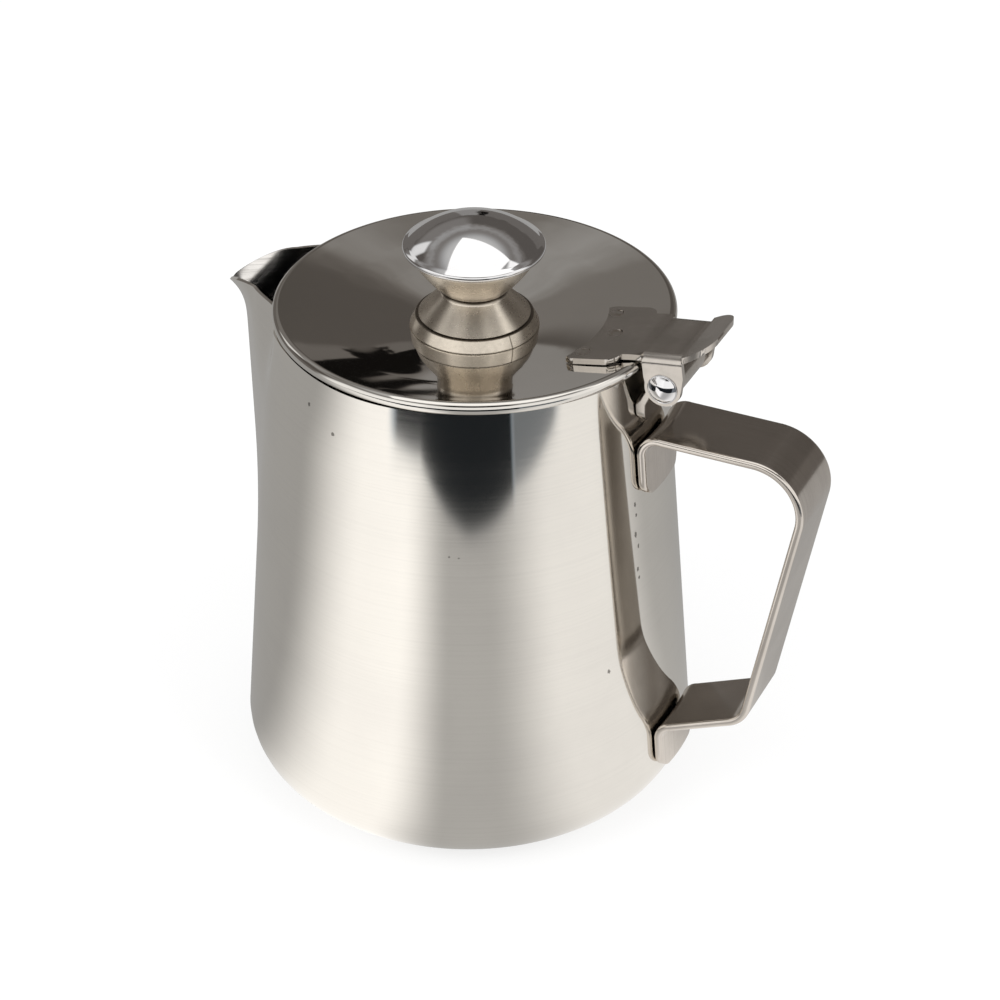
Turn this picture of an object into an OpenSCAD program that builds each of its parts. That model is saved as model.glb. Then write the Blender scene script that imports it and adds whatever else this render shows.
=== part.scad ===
// Hot milk jug with a hinged lid.
// Millimetres. The jug stands on z = 0 with its axis on the z axis.
// The beak points to -x, the handle and the hinge to +x.

/* [Jug body] */
// Height of the rim above the table
rim_h = 126.2; // [115:0.1:152]
// Wall radius the straight taper would have at the table
base_r = 57.3; // [50:0.1:65]
// Radius lost for each millimetre of height
wall_taper = 0.0833; // [0.03:0.0001:0.12]
// Radius of the flat the jug stands on
foot_r = 38; // [30:0.5:42]
// Height of the rounded bottom corner
corner_h = 15; // [10:0.5:20]
// Sheet thickness of the body
wall_t = 0.8; // [0.6:0.05:1.2]

/* [Beak] */
// How far the keel stands out of the wall at the rim
beak_out = 12.7; // [9:0.1:15]
// Radius of the keel
keel_r = 3; // [2:0.1:4]
// How far the pouring lip curls out
lip_curl = 4.2; // [2:0.1:6]
// How far the tip of the lip hangs below the rim
lip_drop = 6.5; // [3:0.1:8]

/* [Handle] */
// Width of the strip
strip_w = 19.5; // [16:0.1:22]
// Thickness of the strip
strip_t = 2; // [1.6:0.1:2.6]
// How far the middle of the top arm lies below the rim
arm_down = 17.3; // [14:0.1:26]
// Distance of the top corner of the loop from the jug axis
grip_x = 90.7; // [84:0.1:100]

/* [Lid] */
// How far the edge of the lid stands out past the wall at the rim
lid_over = 0.71; // [0:0.01:1.5]
// How far the lid sits back from the jug axis
lid_back = 2.2; // [1.5:0.1:2.6]
// Depth of the middle of the dish below the middle of the rim roll
bowl_drop = 6.6; // [6:0.05:7.5]
// Slope of the dish at its middle, in degrees
bowl_slope = 7; // [0:0.5:7.5]
// Lid sheet thickness
lid_t = 0.8; // [0.6:0.05:1]

/* [Hinge] */
// Distance of the hinge pin out from the wall at the rim
pin_out = 7.41; // [7.2:0.01:9]
// How far the hinge pin lies below the rim
pin_down = 2.2; // [1.7:0.1:3.2]
// Diameter of the hinge pin
pin_d = 4; // [3:0.1:4.4]
// Opening angle shown
lid_angle = 0; // [0:1:100]

/* [Knob] */
// Radius of the knob at its widest
knob_r = 16.7; // [14:0.1:19]
// Height of the widest line of the knob above the rim
knob_up = 17.8; // [15:0.1:24]
// Height of the dome above the widest line of the knob
cap_top = 6.9; // [4:0.1:9]

/* [Show] */
// Which part to draw

/* [Hidden] */
$fn = 96;

steel = [0.78, 0.77, 0.75];
satin = [0.66, 0.64, 0.60];
bright = [0.86, 0.86, 0.87];
dark = [0.45, 0.43, 0.41];

// named clearances
weld_gap = 0.3;     // body wall to a welded-on strip
fit = 0.05;         // pin in its knuckle, on the radius
side_gap = 0.25;    // knuckle to each ear
seat_gap = 0.3;     // lid roll above the jug rim
touch = 0.05;       // stacked knob pieces
weld_skin = 0.02;   // weld nugget to the sheets it joins
over = 2;           // how far a cutter reaches past what it cuts

// body
function wall_r(z) = base_r - wall_taper * z;
taper_a = atan(wall_taper);
corner_r = wall_r(corner_h);

// what stands on the rim follows the rim
rim_r = wall_r(rim_h);
arm_h = rim_h - arm_down;
lid_r = rim_r + lid_over;
pin_x = rim_r + pin_out;
pin_z = rim_h - pin_down;
knob_z = rim_h + knob_up;

// beak: keel distance grows with height, faded out above the bottom corner
beak_z0 = 16;
beak_z1 = 50;
beak_grow = 0.1;
function fade(u) = let (c = min(max(u, 0), 1)) c * c * (3 - 2 * c);
function beak_e(z) = (beak_out - beak_grow * (rim_h - z)) * fade((z - beak_z0) / (beak_z1 - beak_z0));

// radius of the outline at angle a from the beak, at height z, moved in by i
// the outline is a circle of the wall radius and its two tangents to the keel
function outline_r(a, z, i) =
    let (
        r = wall_r(z),
        k = r + beak_e(z),
        d = k - keel_r,
        t = acos(min((r - keel_r) / d, 1)),
        at = atan2(keel_r * sin(t), d + keel_r * cos(t)),
        q = keel_r - i
    )
    a >= t ? r - i
    : a > at * (d + q * cos(t)) / (d + keel_r * cos(t)) + 0.001 ? (r - i) / cos(t - a)
    : d * cos(a) + sqrt(max(q * q - pow(d * sin(a), 2), 0));

// pouring lip: the last rows of the wall curl out and down near the keel
lip_a = 12;
lip_z0 = rim_h - 20.2;
function lip_g(a) = a < lip_a ? 1 - pow(a / lip_a, 2) : 0;
function lip_h(a) = a < lip_a ? pow(1 - a / lip_a, 1.5) : 0;
function lip_z(a) = rim_h - lip_drop * lip_h(a);
// the flanks of the beak are pinched in towards the rim
pinch = 3.4;
pinch_a = 25;
pinch_w = 15.5;
function dent(a, z) =
    abs(a - pinch_a) < pinch_w
    ? pinch * pow(cos(90 * (a - pinch_a) / pinch_w), 2) * fade((z - lip_z0) / (rim_h - lip_z0))
    : 0;

// rows of the shell skin, each a function of the angle from the beak
half_n = 42;
corner_n = 7;
wall_n = 9;
lip_s = [0.2, 0.4, 0.58, 0.73, 0.84, 0.92, 0.97, 1];
lip_n = len(lip_s);
function col_a(j) = 180 * pow(j / half_n, 1.5);

function corner_pt(k, i) =
    let (b = 90 * k / (corner_n - 1))
    [foot_r + (corner_r - i - foot_r) * sin(b), i + (corner_h - i) * (1 - cos(b))];
function wall_pt(k, a, i) =
    let (z = corner_h + (lip_z0 - corner_h) * k / wall_n)
    [outline_r(a, z, i), z];
function lip_pt(k, a, i) =
    let (
        s = lip_s[k],
        z = lip_z0 + (lip_z(a) - lip_z0) * s,
        b = 65 * lip_g(a) * pow(s, 4)
    )
    [
        outline_r(a, z, i) + lip_curl * lip_g(a) * pow(s, 5) - dent(a, z) + i * (1 - cos(b)),
        z + i * sin(b)
    ];
function skin_pt(row, a, i) =
    row < corner_n ? corner_pt(row, i)
    : row < corner_n + wall_n ? wall_pt(row - corner_n + 1, a, i)
    : lip_pt(row - corner_n - wall_n, a, i);
rows = corner_n + wall_n + lip_n;
cols = 2 * half_n;
function col_signed(j) = j <= half_n ? col_a(j) : -col_a(cols - j);
function place(p, a) = [-p[0] * cos(a), p[0] * sin(a), p[1]];

module jug_shell() {
    pts = [
        for (side = [0, 1])
            for (row = [0:rows - 1])
                for (j = [0:cols - 1])
                    let (a = col_signed(j))
                    place(skin_pt(row, abs(a), side * wall_t), a)
    ];
    function id(side, row, j) = (side * rows + row) * cols + (j % cols);
    faces = concat(
        [
            for (row = [0:rows - 2])
                for (j = [0:cols - 1])
                    each [
                        [id(0, row, j), id(0, row, j + 1), id(0, row + 1, j + 1)],
                        [id(0, row, j), id(0, row + 1, j + 1), id(0, row + 1, j)],
                        [id(1, row, j), id(1, row + 1, j + 1), id(1, row, j + 1)],
                        [id(1, row, j), id(1, row + 1, j), id(1, row + 1, j + 1)]
                    ]
        ],
        [
            for (j = [0:cols - 1])
                each [
                    [id(0, rows - 1, j), id(0, rows - 1, j + 1), id(1, rows - 1, j + 1)],
                    [id(0, rows - 1, j), id(1, rows - 1, j + 1), id(1, rows - 1, j)]
                ]
        ],
        [[for (j = [cols - 1:-1:0]) id(0, 0, j)]],
        [[for (j = [0:cols - 1]) id(1, 0, j)]]
    );
    color(steel)
    polyhedron(points = pts, faces = faces, convexity = 8);
}

// rounded rectangle built from squares and circles
module rounded(w, h, r) {
    square([w, h - 2 * r], center = true);
    square([w - 2 * r, h], center = true);
    for (x = [-1, 1])
        for (y = [-1, 1])
            translate([x * (w / 2 - r), y * (h / 2 - r)])
            circle(r);
}

// cone of the body wall, grown by g
module wall_cone(g) {
    top = rim_h + 2 * over;
    rotate_extrude()
    polygon([
        [0, 0],
        [wall_r(0) + g / cos(taper_a), 0],
        [wall_r(top) + g / cos(taper_a), top],
        [0, top]
    ]);
}

// handle: one strip swept along straights and bends in the x-z plane
// a heading is measured from +z towards +x, a turn is positive towards the right
edge_r = 0.8;
edge_n = 3;
flat_n = 5;
tab_corner = 4.5;
tab_r = 4;
loop_r = 12;
heel_r = 7;
loop_in = 13.4;     // how far the leg leans in from its top corner to its low one
loop_low = 0.335;   // height of the low corner of the leg, as a share of the top one
tab_len = 16;       // upper tab, from its free end to the middle of the arm
low_x = grip_x - loop_in;
low_z = arm_h * loop_low;
tab_low_z = arm_h - tab_len;
foot_tab_z = 14.7;
heel_a = 66.4;
leg_a = atan((grip_x - low_x) / (arm_h - low_z));
// middle of a strip that lies on the wall at height z
function seat_x(z) = wall_r(z) + (weld_gap + strip_t / 2) / cos(taper_a);
top_len = (arm_h - tab_r * (1 + sin(taper_a)) - tab_low_z) / cos(taper_a);
arm_x = seat_x(tab_low_z) - top_len * sin(taper_a) + tab_r * cos(taper_a);
loop_cut = loop_r * tan((90 + leg_a) / 2);
heel_turn = heel_a - leg_a;
heel_cut = heel_r * tan(heel_turn / 2);
foot_turn = heel_a + taper_a;
foot_cut = tab_r * tan(foot_turn / 2);
// where the lower arm meets the line of the lower tab
low_len = (low_x - seat_x(low_z)) / (sin(heel_a) + wall_taper * cos(heel_a));
knee_z = low_z - cos(heel_a) * low_len;
foot_len = (knee_z - foot_tab_z) / cos(taper_a) - foot_cut;

// each run: length or turn, bend radius (0 is straight), steps, hold at its start and end
// hold is how much the strip is rolled to the round wall, and on which side the wall lies
runs = [
    [top_len, 0, 8, 1, 1],
    [90 + taper_a, tab_r, 8, 1, 0],
    [grip_x - loop_cut - arm_x, 0, 1, 0, 0],
    [90 + leg_a, loop_r, 14, 0, 0],
    [norm([grip_x - low_x, arm_h - low_z]) - loop_cut - heel_cut, 0, 1, 0, 0],
    [heel_turn, heel_r, 7, 0, 0],
    [low_len - heel_cut - foot_cut, 0, 1, 0, 0],
    [-foot_turn, tab_r, 7, 0, -1],
    [foot_len, 0, 8, -1, -1]
];
function run_point(x, z, h, r, t) =
    r[1] == 0
    ? [x + r[0] * t * sin(h), z + r[0] * t * cos(h), h]
    : let (s = sign(r[0]), g = h + r[0] * t)
    [
        x + s * r[1] * (cos(h) - cos(g)),
        z - s * r[1] * (sin(h) - sin(g)),
        g
    ];
// steps crowd towards a tab's free end, where the corners are round
function step_at(i, k, n) =
    i == 0 ? 1 - cos(90 * k / n)
    : i == len(runs) - 1 ? sin(90 * k / n)
    : k / n;
function stations(i, x, z, h) =
    i == len(runs)
    ? [[x, z, h, runs[i - 1][4], 0]]
    : let (r = runs[i], e = run_point(x, z, h, r, 1))
    concat(
        [
            for (k = [0:r[2] - 1])
                let (t = step_at(i, k, r[2]), p = run_point(x, z, h, r, t))
                [
                    p[0],
                    p[1],
                    p[2],
                    r[3] + (r[4] - r[3]) * t,
                    i == 0 ? t * r[0] : i == len(runs) - 1 ? (1 - t) * r[0] : strip_w
                ]
        ],
        stations(i + 1, e[0], e[1], e[2])
    );
// half width at distance d from a free end
function half_w(d) =
    d >= tab_corner
    ? strip_w / 2
    : strip_w / 2 - tab_corner + sqrt(pow(tab_corner, 2) - pow(tab_corner - d, 2));
// one side of the strip's section, edge to edge: [thickness, width]
side_pts = concat(
    [
        for (k = [0:edge_n])
            let (a = 90 * k / edge_n)
            [
                strip_t / 2 - edge_r + edge_r * sin(a),
                -strip_w / 2 + edge_r - edge_r * cos(a)
            ]
    ],
    [
        for (k = [1:flat_n - 1])
            [strip_t / 2, (strip_w / 2 - edge_r) * (2 * k / flat_n - 1)]
    ],
    [
        for (k = [0:edge_n])
            let (a = 90 * k / edge_n)
            [
                strip_t / 2 - edge_r + edge_r * cos(a),
                strip_w / 2 - edge_r + edge_r * sin(a)
            ]
    ]
);
side_n = len(side_pts);
section = concat(side_pts, [for (k = [side_n - 1:-1:0]) [-side_pts[k][0], side_pts[k][1]]]);
section_n = len(section);
function sag(y, z) = let (r = seat_x(z)) r - sqrt(r * r - y * y);

module handle() {
    line = stations(0, seat_x(tab_low_z), tab_low_z, -taper_a);
    last = len(line) - 1;
    pts = [
        for (p = line)
            for (q = section)
                let (
                    y = q[1] * half_w(p[4]) * 2 / strip_w,
                    u = q[0] - p[3] * sag(y, p[1])
                )
                [p[0] + u * cos(p[2]), y, p[1] - u * sin(p[2])]
    ];
    function id(k, j) = k * section_n + (j % section_n);
    faces = concat(
        [
            for (k = [0:last - 1])
                for (j = [0:section_n - 1])
                    each [
                        [id(k, j), id(k + 1, j + 1), id(k + 1, j)],
                        [id(k, j), id(k, j + 1), id(k + 1, j + 1)]
                    ]
        ],
        [
            for (j = [0:side_n - 2])
                each [
                    [id(0, j), id(0, section_n - 2 - j), id(0, j + 1)],
                    [id(0, j), id(0, section_n - 1 - j), id(0, section_n - 2 - j)],
                    [id(last, j), id(last, j + 1), id(last, section_n - 2 - j)],
                    [id(last, j), id(last, section_n - 2 - j), id(last, section_n - 1 - j)]
                ]
        ]
    );
    color(satin)
    polyhedron(points = pts, faces = faces, convexity = 8);
}

// hinge leaf and knuckle, between the folded ears of the thumb lever
plate_t = 1.4;
neck_w = 20.5;
ear_out = neck_w / 2;
ear_in = ear_out - plate_t;
leaf_w = 2 * (ear_in - side_gap);
leaf_t = 1.2;
knuckle_r = 3.5;
leaf_z0 = pin_z - 11.4;
leaf_bend_z = pin_z - 6.5;
leaf_x = wall_r(leaf_z0) + weld_gap + leaf_t;
leaf_corner = 3;
leaf_back = 3;      // how far the blank of the leaf reaches into the wall before it is cut
curl_a = -118;      // where the curl of the knuckle ends
curl_gap = 0.4;
module hinge_leaf() {
    color(satin)
    difference() {
        union() {
            // knuckle
            translate([pin_x, leaf_w / 2, pin_z])
            rotate([90, 0, 0])
            linear_extrude(leaf_w)
            difference() {
                circle(knuckle_r);
                circle(pin_d / 2 + fit);
                // open end of the curl
                rotate(curl_a)
                translate([0, -curl_gap / 2])
                square([2 * knuckle_r, curl_gap]);
            }
            // leaf, from the weld land up to the knuckle
            intersection() {
                translate([0, leaf_w / 2, 0])
                rotate([90, 0, 0])
                linear_extrude(leaf_w)
                polygon([
                    [leaf_x - leaf_back, leaf_z0],
                    [leaf_x, leaf_z0],
                    [leaf_x, leaf_bend_z],
                    [pin_x - knuckle_r + leaf_t, pin_z - leaf_t / 2],
                    [pin_x - knuckle_r, pin_z],
                    [leaf_x - leaf_t, leaf_bend_z + leaf_t],
                    [leaf_x - leaf_back, leaf_bend_z - leaf_t]
                ]);
                // rounded lower corners
                translate([leaf_x - leaf_back, 0, leaf_z0 + leaf_w / 2])
                rotate([0, 90, 0])
                linear_extrude(2 * leaf_back)
                rounded(leaf_w, leaf_w, leaf_corner);
            }
        }
        wall_cone(weld_gap);
        translate([pin_x, 0, pin_z])
        rotate([90, 0, 0])
        cylinder(r = pin_d / 2 + fit, h = leaf_w + over, center = true);
    }
}

// spot welds between the wall and what is welded to it
weld_d = 4;
weld_side = 5;      // distance of each weld from the middle of the strip
weld_up = 5.5;      // height of a weld above the lower edge of its tab
module wall_weld(y, z) {
    a = asin(y / wall_r(z));
    rotate([0, 0, a])
    translate([wall_r(z), 0, z])
    rotate([0, 90 - taper_a, 0])
    translate([0, 0, weld_skin])
    cylinder(d = weld_d, h = weld_gap - 4 * weld_skin);
}
module wall_welds() {
    color(dark)
    for (y = [-weld_side, weld_side])
        for (z = [tab_low_z, foot_tab_z, leaf_z0 - weld_d / 2])
            wall_weld(y, z + weld_up);
}

// the moving set is drawn closed and turned about the pin
module lid_set() {
    translate([pin_x, 0, pin_z])
    rotate([0, lid_angle, 0])
    translate([-pin_x, 0, -pin_z])
    children();
}

// lid: dish that runs into a rolled rim
roll_r = 1.5;
roll_t = 0.7;
roll_gap = 0.5;     // open seam of the roll
roll_bite = 0.02;   // how deep the face of the dish runs into the roll
roll_x = lid_r - roll_r;
roll_z = rim_h + seat_gap + roll_r;
bowl_z = roll_z - bowl_drop;
roll_q = roll_r - roll_bite;
// the face of the dish is an arc that just touches a circle of radius roll_q inside the roll
bowl_r = (roll_x * roll_x + bowl_drop * bowl_drop - roll_q * roll_q)
    / (2 * (bowl_drop * cos(bowl_slope) + roll_q - roll_x * sin(bowl_slope)));
bowl_in = bowl_r * sin(bowl_slope);
bowl_up = bowl_z + bowl_r * cos(bowl_slope);
bowl_edge = (roll_x + bowl_in) * bowl_r / (bowl_r + roll_q) - bowl_in;
function bowl_top(r) = bowl_up - sqrt(pow(bowl_r, 2) - pow(r + bowl_in, 2));
screw_d = 4;
screw_hole = screw_d / 2 + 0.15;
module lid() {
    color(bright)
    lid_set()
    translate([lid_back, 0, 0])
    rotate_extrude() {
        intersection() {
            difference() {
                translate([-bowl_in, bowl_up])
                circle(bowl_r + lid_t, $fn = 720);
                translate([-bowl_in, bowl_up])
                circle(bowl_r, $fn = 720);
            }
            translate([screw_hole, bowl_z - over])
            square([bowl_edge - screw_hole, bowl_drop + 2 * over]);
        }
        translate([roll_x, roll_z])
        difference() {
            circle(roll_r);
            circle(roll_r - roll_t);
            // the roll stays open towards the bowl underneath
            rotate(-135)
            translate([0, -roll_gap / 2])
            square([2 * roll_r, roll_gap]);
        }
    }
}

// thumb lever: a strip bent along the x axis, with two ears folded down beside the knuckle
pad_reach = 24.2;   // inner end of the pad, in from the pin
pad_len = 14;
pad_w = 26.4;
pad_lift = 0.7;
step_len = 2.4;     // run of the rise between pad and neck
step_lift = 0.3;    // neck above the top of the roll
thumb_in = 4.3;     // where the thumb end bends up, out from the pin
thumb_out = 10.6;   // outer end, out from the pin
rise_a = 8;
thumb_a = 30;
bend_cut = 1.1;     // length of strip each bend takes on either side of its corner
bend_n = 5;
pad_corner = 3.4;
thumb_corner = 6;
hollow = 3.8;       // depth of the hollow inner end of the pad
pad_x0 = pin_x - pad_reach;
pad_x1 = pad_x0 + pad_len;
step_x = pad_x1 + step_len;
thumb_x = pin_x + thumb_in;
thumb_end = pin_x + thumb_out;
pad_z0 = bowl_top(pad_x0 - lid_back) + pad_lift;
pad_z1 = bowl_top(pad_x1 - lid_back) + pad_lift;
pad_slope = (pad_z1 - pad_z0) / pad_len;
step_z = roll_z + roll_r + step_lift;
thumb_z = step_z + (thumb_x - step_x) * tan(rise_a);
tip_z = thumb_z + (thumb_end - thumb_x) * tan(thumb_a);
// ears, measured from the pin along the neck and square to it
ear_x0 = lid_back + lid_r - pin_x + 0.1;
ear_x1 = 5.3;
ear_r = 4.4;
ear_back_a = 28;    // where the back edge of an ear meets its round foot
ear_front_a = 12;
fold_r = 2.2;
neck_top = (step_z - pin_z + (pin_x - step_x) * tan(rise_a)) * cos(rise_a) + plate_t;
fold_z = neck_top - fold_r;
head_d = 7.2;
blank_h = 20;       // height of the blank the plan is cut from

function unit(v) = v / norm(v);
// a line of corners with a soft bend in place of each inner corner
function soft_line(l) = [
    l[0],
    for (i = [1:len(l) - 2])
        let (
            a = l[i] + bend_cut * unit(l[i - 1] - l[i]),
            b = l[i] + bend_cut * unit(l[i + 1] - l[i])
        )
        for (k = [0:bend_n])
            let (t = k / bend_n)
            (1 - t) * (1 - t) * a + 2 * t * (1 - t) * l[i] + t * t * b,
    l[len(l) - 1]
];
function line_side(l, i) =
    let (u = unit(l[min(i + 1, len(l) - 1)] - l[max(i - 1, 0)]))
    [-u[1], u[0]];

// side view of the strip, a band of the sheet thickness over its lower line
module lever_side() {
    low = soft_line([
        [pad_x0 - over, pad_z0 - over * pad_slope],
        [pad_x1, pad_z1],
        [step_x, step_z],
        [thumb_x, thumb_z],
        [thumb_end + over, tip_z + over * tan(thumb_a)]
    ]);
    high = [for (i = [0:len(low) - 1]) low[i] + plate_t * line_side(low, i)];
    polygon(concat(low, [for (i = [len(high) - 1:-1:0]) high[i]]));
}
module lever_plan() {
    // pad with a hollow inner end
    difference() {
        translate([(pad_x0 + pad_x1) / 2, 0])
        rounded(pad_len, pad_w, pad_corner);
        translate([lid_back, 0])
        circle(pad_x0 - lid_back + hollow);
    }
    // neck between pad and thumb end
    translate([pad_x1 - pad_corner, -neck_w / 2])
    square([thumb_end - thumb_corner - pad_x1 + pad_corner, neck_w]);
    translate([thumb_end - neck_w / 2, 0])
    rounded(neck_w, neck_w, thumb_corner);
}
module ear_plan() {
    // foot circle round the pin and the edges up to the fold
    circle(ear_r);
    polygon([
        [ear_x0, fold_z],
        [ear_x0, fold_z / 2],
        [-ear_r * cos(ear_back_a), -ear_r * sin(ear_back_a)],
        [ear_r * cos(ear_front_a), -ear_r * sin(ear_front_a)],
        [ear_x1, fold_z / 2],
        [ear_x1, fold_z]
    ]);
}
module lever_ears() {
    for (m = [0, 1])
        mirror([0, m, 0]) {
            translate([0, ear_out, 0])
            rotate([90, 0, 0])
            linear_extrude(plate_t)
            ear_plan();
            // fold between ear and plate
            translate([ear_x0, ear_out - fold_r, fold_z])
            rotate([90, 0, 90])
            linear_extrude(ear_x1 - ear_x0)
            intersection() {
                difference() {
                    circle(fold_r);
                    circle(fold_r - plate_t);
                }
                square(fold_r);
            }
        }
}
// carries its children into the slope of the neck, with the pin as origin
module neck_frame() {
    translate([pin_x, 0, pin_z])
    rotate([0, -rise_a, 0])
    children();
}
module thumb_lever() {
    color(dark)
    lid_set()
    difference() {
        union() {
            difference() {
                intersection() {
                    translate([0, pad_w / 2, 0])
                    rotate([90, 0, 0])
                    linear_extrude(pad_w)
                    lever_side();
                    translate([0, 0, pin_z])
                    linear_extrude(blank_h)
                    lever_plan();
                }
                // square plate edge makes room for the folds
                neck_frame()
                for (m = [0, 1])
                    mirror([0, m, 0])
                    translate([ear_x0, ear_out - fold_r, neck_top - plate_t - over])
                    cube([ear_x1 - ear_x0, fold_r + over, plate_t + 2 * over]);
            }
            neck_frame()
            lever_ears();
        }
        translate([pin_x, 0, pin_z])
        rotate([90, 0, 0])
        cylinder(r = pin_d / 2 + fit, h = neck_w + 2 * over, center = true);
        for (p = weld_spots)
            translate([p[0], p[1], pin_z])
            cylinder(d = spot_d, h = blank_h);
    }
}

// the three spot welds of the pad
spot_d = 3.4;
spot_side = 9.7;
spot_near = pad_x0 + 4.3;
spot_far = pad_x0 + 8.2;
spot_sink = 0.12;   // top of a nugget below the face of the pad
weld_spots = [[spot_near, -spot_side], [spot_near, spot_side], [spot_far, 0]];
module lever_welds() {
    color(dark)
    lid_set()
    for (p = weld_spots) {
        r = norm([p[0] - lid_back, p[1]]);
        z0 = bowl_top(r + spot_d / 2) + 2 * weld_skin;
        z1 = pad_z0 + (p[0] - pad_x0) * pad_slope + plate_t - spot_sink;
        translate([p[0], p[1], z0])
        cylinder(d = spot_d - 2 * weld_skin, h = z1 - z0);
    }
}

// hinge pin with two domed heads
head_h = 1.6;
module hinge_pin() {
    color(bright)
    lid_set()
    translate([pin_x, 0, pin_z])
    rotate([90, 0, 0]) {
        cylinder(d = pin_d, h = neck_w, center = true);
        for (m = [0, 1])
            mirror([0, 0, m])
            translate([0, 0, ear_out])
            rotate_extrude()
            pin_head();
    }
}
dome_r = (pow(head_d / 2, 2) + head_h * head_h) / (2 * head_h);
module pin_head() {
    intersection() {
        translate([0, head_h - dome_r])
        circle(dome_r);
        square([head_d / 2, head_h]);
    }
}

// knob, everything turned round the middle of the lid
flange_r = 15.2;
flange_top_r = 14.2;
flange_h = 2.85;
flange_t = 0.9;
flange_edge = 0.25;
flange_wall = 1.2;  // sloping side of the flange, measured level
flange_z = bowl_top(flange_r) + touch;
collar_r = 13.5;
collar_z = flange_z + flange_h + touch;
collar_top_r = 7.6;
collar_h = 6;
collar_t = 1;
collar_wall = 1.6;  // sloping side of the collar, measured level
collar_bend = 0.35;
collar_neck = 0.9;
collar_top = collar_z + collar_h + collar_neck;
cup_z = collar_top + touch;
cup_r = 8.3;
cup_wall = 1.2;     // side of the cup, measured level
cup_floor = 3.6;
cup_bend = 0.45;
cup_pull = [3.4, 2.6]; // corner the curve of the cup is drawn towards, from its foot
cup_n = 6;
cap_edge = 0.9;
cap_t = 0.9;
thread_h = 2.4;
module knob_turn() {
    lid_set()
    translate([lid_back, 0, 0])
    rotate_extrude()
    children();
}
module knob_flange() {
    top = flange_z + flange_h;
    color(satin)
    knob_turn()
    polygon([
        [flange_r, flange_z],
        [flange_r, flange_z + flange_edge],
        [flange_top_r, top],
        [screw_hole, top],
        [screw_hole, top - flange_t],
        [flange_top_r - flange_wall, top - flange_t],
        [flange_r - flange_wall, flange_z]
    ]);
}
module knob_collar() {
    bend_z = collar_z + collar_h;
    color(satin)
    knob_turn()
    polygon([
        [collar_r, collar_z],
        [collar_top_r + collar_bend, bend_z - collar_bend],
        [collar_top_r, bend_z + collar_bend],
        [collar_top_r, collar_top],
        [screw_hole, collar_top],
        [screw_hole, bend_z - collar_t / 2],
        [collar_top_r - collar_t, bend_z - collar_t / 2],
        [collar_r - collar_wall, collar_z]
    ]);
}
cup_lip_r = knob_r - cap_edge - 0.5;
cup_lip_z = knob_z - 1.1;
// one face of the cup, drawn from its foot to its lip
function cup_line(foot, lip) = [
    for (k = [0:cup_n])
        let (t = k / cup_n, pull = foot + cup_pull)
        (1 - t) * (1 - t) * foot + 2 * t * (1 - t) * pull + t * t * lip
];
module knob_cup() {
    outer = cup_line([cup_r, cup_z + cup_bend], [cup_lip_r, cup_lip_z]);
    inner = cup_line([cup_r - cup_wall, cup_z + cup_floor], [cup_lip_r - cup_wall, cup_lip_z]);
    color(satin)
    knob_turn()
    difference() {
        polygon(concat(
            [[0, cup_z], [cup_r - cup_bend, cup_z]],
            outer,
            [for (k = [cup_n:-1:0]) inner[k]],
            [[0, cup_z + cup_floor]]
        ));
        // thread of the screw
        translate([0, cup_z - over])
        square([screw_d / 2 + touch, over + thread_h + touch]);
    }
}
cap_r = (pow(knob_r - cap_edge, 2) + pow(cap_top - cap_edge, 2)) / (2 * (cap_top - cap_edge));
module knob_cap() {
    color(bright)
    knob_turn() {
        intersection() {
            difference() {
                translate([0, knob_z + cap_top - cap_r])
                circle(cap_r);
                translate([0, knob_z + cap_top - cap_r])
                circle(cap_r - cap_t);
            }
            translate([0, knob_z + 0.4])
            square([knob_r - cap_edge, cap_top]);
        }
        translate([knob_r - cap_edge, knob_z])
        circle(cap_edge);
    }
}
washer_r = 6;
washer_t = 1;
washer_z = bowl_top(screw_hole) - lid_t - 2 * touch - washer_t;
screw_head_r = 4.2;
screw_head_h = 2.2;
screw_slot_w = 1;
screw_slot_d = 1;
module knob_washer() {
    color(bright)
    knob_turn()
    translate([screw_hole, washer_z])
    square([washer_r - screw_hole, washer_t]);
}
module knob_screw() {
    color(bright)
    lid_set()
    translate([lid_back, 0, 0]) {
        translate([0, 0, washer_z - touch])
        cylinder(d = screw_d, h = cup_z + thread_h - washer_z);
        difference() {
            translate([0, 0, washer_z - touch])
            mirror([0, 0, 1])
            rotate_extrude()
            intersection() {
                translate([0, screw_head_h - screw_head_ball])
                circle(screw_head_ball);
                square([screw_head_r, screw_head_h]);
            }
            // driver slot
            translate([0, 0, washer_z - touch - screw_head_h])
            cube([2 * screw_head_r + over, screw_slot_w, 2 * screw_slot_d], center = true);
        }
    }
}
screw_head_ball = (screw_head_r * screw_head_r + screw_head_h * screw_head_h) / (2 * screw_head_h);

jug_shell();
handle();
wall_welds();
hinge_leaf();
hinge_pin();
thumb_lever();
lever_welds();
lid();
knob_flange();
knob_collar();
knob_cup();
knob_cap();
knob_screw();
knob_washer();
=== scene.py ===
"""A steel milk jug with a hinged lid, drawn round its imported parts.

The jug stands on z = 0 with its axis on the z axis, the beak to -x and the handle to +x.
Sizes are millimetres and become metres when a piece is finished.
"""
import math

import bmesh
import bpy
from mathutils import Matrix, Vector


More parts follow.
